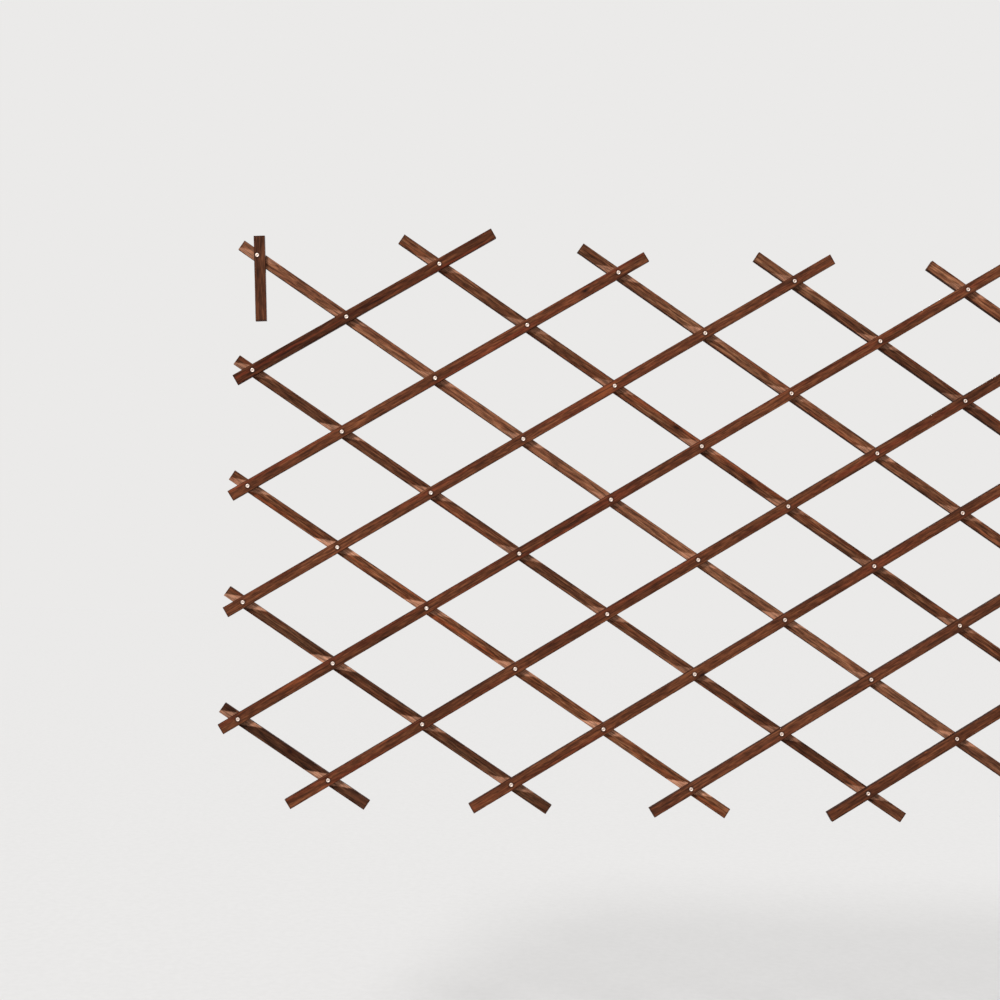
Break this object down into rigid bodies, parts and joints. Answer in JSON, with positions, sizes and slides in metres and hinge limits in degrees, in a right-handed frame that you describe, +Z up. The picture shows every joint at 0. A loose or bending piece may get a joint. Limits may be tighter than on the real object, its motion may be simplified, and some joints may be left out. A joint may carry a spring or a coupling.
{
  "type": "expanding trellis panel",
  "caption": "Expanding garden trellis of crossed brown wooden slats on tubular rivets, folding like scissors, with a loose slat hanging from one rivet at each top corner.",
  "frame": {"origin": "on the axis of the rivet nearest the panel's middle, in the plane of the wall behind the back slats", "axes": "+X along the panel to the right as seen from the front, +Z up, the front faces -Y"},
  "size_m": [1.8368, 0.0193, 0.9545],
  "materials": {
    "front_wood": "dark brown stain, planed",
    "back_wood": "brown stain, rough sawn",
    "rivet_metal": "bright"
  },
  "bodies": {
    "centre_rivet": {"centre_rivet": "rivet_metal"},
    "top_left_corner_slat": {"top_left_corner_slat": "front_wood", "top_left_corner_rivet": "rivet_metal"},
    "front_slat_1": {"front_slat_1": "front_wood", "front_slat_1_rivets": "rivet_metal"},
    "front_slat_2": {"front_slat_2": "front_wood", "front_slat_2_rivets": "rivet_metal"},
    "front_slat_3": {"front_slat_3": "front_wood", "front_slat_3_rivets": "rivet_metal"},
    "front_slat_4": {"front_slat_4": "front_wood", "front_slat_4_rivets": "rivet_metal"},
    "front_slat_5": {"front_slat_5": "front_wood", "front_slat_5_rivets": "rivet_metal"},
    "front_slat_6": {"front_slat_6": "front_wood", "front_slat_6_rivets": "rivet_metal"},
    "front_slat_7": {"front_slat_7": "front_wood", "front_slat_7_rivets": "rivet_metal"},
    "front_slat_8": {"front_slat_8": "front_wood", "front_slat_8_rivets": "rivet_metal"},
    "front_slat_9": {"front_slat_9": "front_wood", "front_slat_9_rivets": "rivet_metal"},
    "front_slat_10": {"front_slat_10": "front_wood", "front_slat_10_rivets": "rivet_metal"},
    "back_slat_1": {"back_slat_1": "back_wood"},
    "back_slat_2": {"back_slat_2": "back_wood"},
    "back_slat_3": {"back_slat_3": "back_wood"},
    "back_slat_4": {"back_slat_4": "back_wood"},
    "back_slat_5": {"back_slat_5": "back_wood"},
    "back_slat_6": {"back_slat_6": "back_wood"},
    "back_slat_7": {"back_slat_7": "back_wood"},
    "back_slat_8": {"back_slat_8": "back_wood"},
    "back_slat_9": {"back_slat_9": "back_wood"},
    "back_slat_10": {"back_slat_10": "back_wood"},
    "top_right_corner_slat": {"top_right_corner_slat": "back_wood"}
  },
  "joints": [
    {"name": "fold", "type": "hinge", "parent": "centre_rivet", "child": "front_slat_5", "pos_m": [0, -0.0091, 0], "axis": [0, -1, 0], "range_deg": [-10.5, 49.5]},
    {"name": "back_slat_6_turn", "type": "hinge", "parent": "centre_rivet", "child": "back_slat_6", "pos_m": [0, -0.0091, 0], "axis": [0, -1, 0], "range_deg": [-49.5, 10.5]},
    {"name": "front_slat_1_turn", "type": "hinge", "parent": "back_slat_6", "child": "front_slat_1", "pos_m": [-0.59103, -0.0091, 0.37508], "axis": [0, -1, 0], "range_deg": [-21, 99]},
    {"name": "front_slat_2_turn", "type": "hinge", "parent": "back_slat_6", "child": "front_slat_2", "pos_m": [-0.44327, -0.0091, 0.28131], "axis": [0, -1, 0], "range_deg": [-21, 99]},
    {"name": "front_slat_3_turn", "type": "hinge", "parent": "back_slat_6", "child": "front_slat_3", "pos_m": [-0.29551, -0.0091, 0.18754], "axis": [0, -1, 0], "range_deg": [-21, 99]},
    {"name": "front_slat_4_turn", "type": "hinge", "parent": "back_slat_6", "child": "front_slat_4", "pos_m": [-0.14776, -0.0091, 0.09377], "axis": [0, -1, 0], "range_deg": [-21, 99]},
    {"name": "front_slat_6_turn", "type": "hinge", "parent": "back_slat_6", "child": "front_slat_6", "pos_m": [0.14776, -0.0091, -0.09377], "axis": [0, -1, 0], "range_deg": [-21, 99]},
    {"name": "front_slat_7_turn", "type": "hinge", "parent": "back_slat_6", "child": "front_slat_7", "pos_m": [0.29551, -0.0091, -0.18754], "axis": [0, -1, 0], "range_deg": [-21, 99]},
    {"name": "front_slat_8_turn", "type": "hinge", "parent": "back_slat_6", "child": "front_slat_8", "pos_m": [0.44327, -0.0091, -0.28131], "axis": [0, -1, 0], "range_deg": [-21, 99]},
    {"name": "front_slat_9_turn", "type": "hinge", "parent": "back_slat_6", "child": "front_slat_9", "pos_m": [0.59103, -0.0091, -0.37508], "axis": [0, -1, 0], "range_deg": [-21, 99]},
    {"name": "front_slat_10_turn", "type": "hinge", "parent": "back_slat_6", "child": "front_slat_10", "pos_m": [0.73879, -0.0091, -0.46885], "axis": [0, -1, 0], "range_deg": [-21, 99]},
    {"name": "back_slat_1_turn", "type": "hinge", "parent": "front_slat_5", "child": "back_slat_1", "pos_m": [-0.73879, -0.0091, -0.46885], "axis": [0, -1, 0], "range_deg": [-99, 21]},
    {"name": "back_slat_2_turn", "type": "hinge", "parent": "front_slat_5", "child": "back_slat_2", "pos_m": [-0.59103, -0.0091, -0.37508], "axis": [0, -1, 0], "range_deg": [-99, 21]},
    {"name": "back_slat_3_turn", "type": "hinge", "parent": "front_slat_5", "child": "back_slat_3", "pos_m": [-0.44327, -0.0091, -0.28131], "axis": [0, -1, 0], "range_deg": [-99, 21]},
    {"name": "back_slat_4_turn", "type": "hinge", "parent": "front_slat_5", "child": "back_slat_4", "pos_m": [-0.29551, -0.0091, -0.18754], "axis": [0, -1, 0], "range_deg": [-99, 21]},
    {"name": "back_slat_5_turn", "type": "hinge", "parent": "front_slat_5", "child": "back_slat_5", "pos_m": [-0.14776, -0.0091, -0.09377], "axis": [0, -1, 0], "range_deg": [-99, 21]},
    {"name": "back_slat_7_turn", "type": "hinge", "parent": "front_slat_5", "child": "back_slat_7", "pos_m": [0.14776, -0.0091, 0.09377], "axis": [0, -1, 0], "range_deg": [-99, 21]},
    {"name": "back_slat_8_turn", "type": "hinge", "parent": "front_slat_5", "child": "back_slat_8", "pos_m": [0.29551, -0.0091, 0.18754], "axis": [0, -1, 0], "range_deg": [-99, 21]},
    {"name": "back_slat_9_turn", "type": "hinge", "parent": "front_slat_5", "child": "back_slat_9", "pos_m": [0.44327, -0.0091, 0.28131], "axis": [0, -1, 0], "range_deg": [-99, 21]},
    {"name": "back_slat_10_turn", "type": "hinge", "parent": "front_slat_5", "child": "back_slat_10", "pos_m": [0.59103, -0.0091, 0.37508], "axis": [0, -1, 0], "range_deg": [-99, 21]},
    {"name": "top_left_corner_swing", "type": "hinge", "parent": "back_slat_5", "child": "top_left_corner_slat", "pos_m": [-0.88654, -0.0091, 0.37508], "axis": [0, -1, 0], "range_deg": [-150, 48]},
    {"name": "top_right_corner_swing", "type": "hinge", "parent": "front_slat_6", "child": "top_right_corner_slat", "pos_m": [0.88654, -0.0091, 0.37508], "axis": [0, -1, 0], "range_deg": [-50, 145]}
  ],
  "couplings": [
    {"joint": "back_slat_6_turn", "follows": "fold", "ratio": -1},
    {"joint": "front_slat_1_turn", "follows": "fold", "ratio": 2},
    {"joint": "front_slat_2_turn", "follows": "fold", "ratio": 2},
    {"joint": "front_slat_3_turn", "follows": "fold", "ratio": 2},
    {"joint": "front_slat_4_turn", "follows": "fold", "ratio": 2},
    {"joint": "front_slat_6_turn", "follows": "fold", "ratio": 2},
    {"joint": "front_slat_7_turn", "follows": "fold", "ratio": 2},
    {"joint": "front_slat_8_turn", "follows": "fold", "ratio": 2},
    {"joint": "front_slat_9_turn", "follows": "fold", "ratio": 2},
    {"joint": "front_slat_10_turn", "follows": "fold", "ratio": 2},
    {"joint": "back_slat_1_turn", "follows": "fold", "ratio": -2},
    {"joint": "back_slat_2_turn", "follows": "fold", "ratio": -2},
    {"joint": "back_slat_3_turn", "follows": "fold", "ratio": -2},
    {"joint": "back_slat_4_turn", "follows": "fold", "ratio": -2},
    {"joint": "back_slat_5_turn", "follows": "fold", "ratio": -2},
    {"joint": "back_slat_7_turn", "follows": "fold", "ratio": -2},
    {"joint": "back_slat_8_turn", "follows": "fold", "ratio": -2},
    {"joint": "back_slat_9_turn", "follows": "fold", "ratio": -2},
    {"joint": "back_slat_10_turn", "follows": "fold", "ratio": -2}
  ]
}
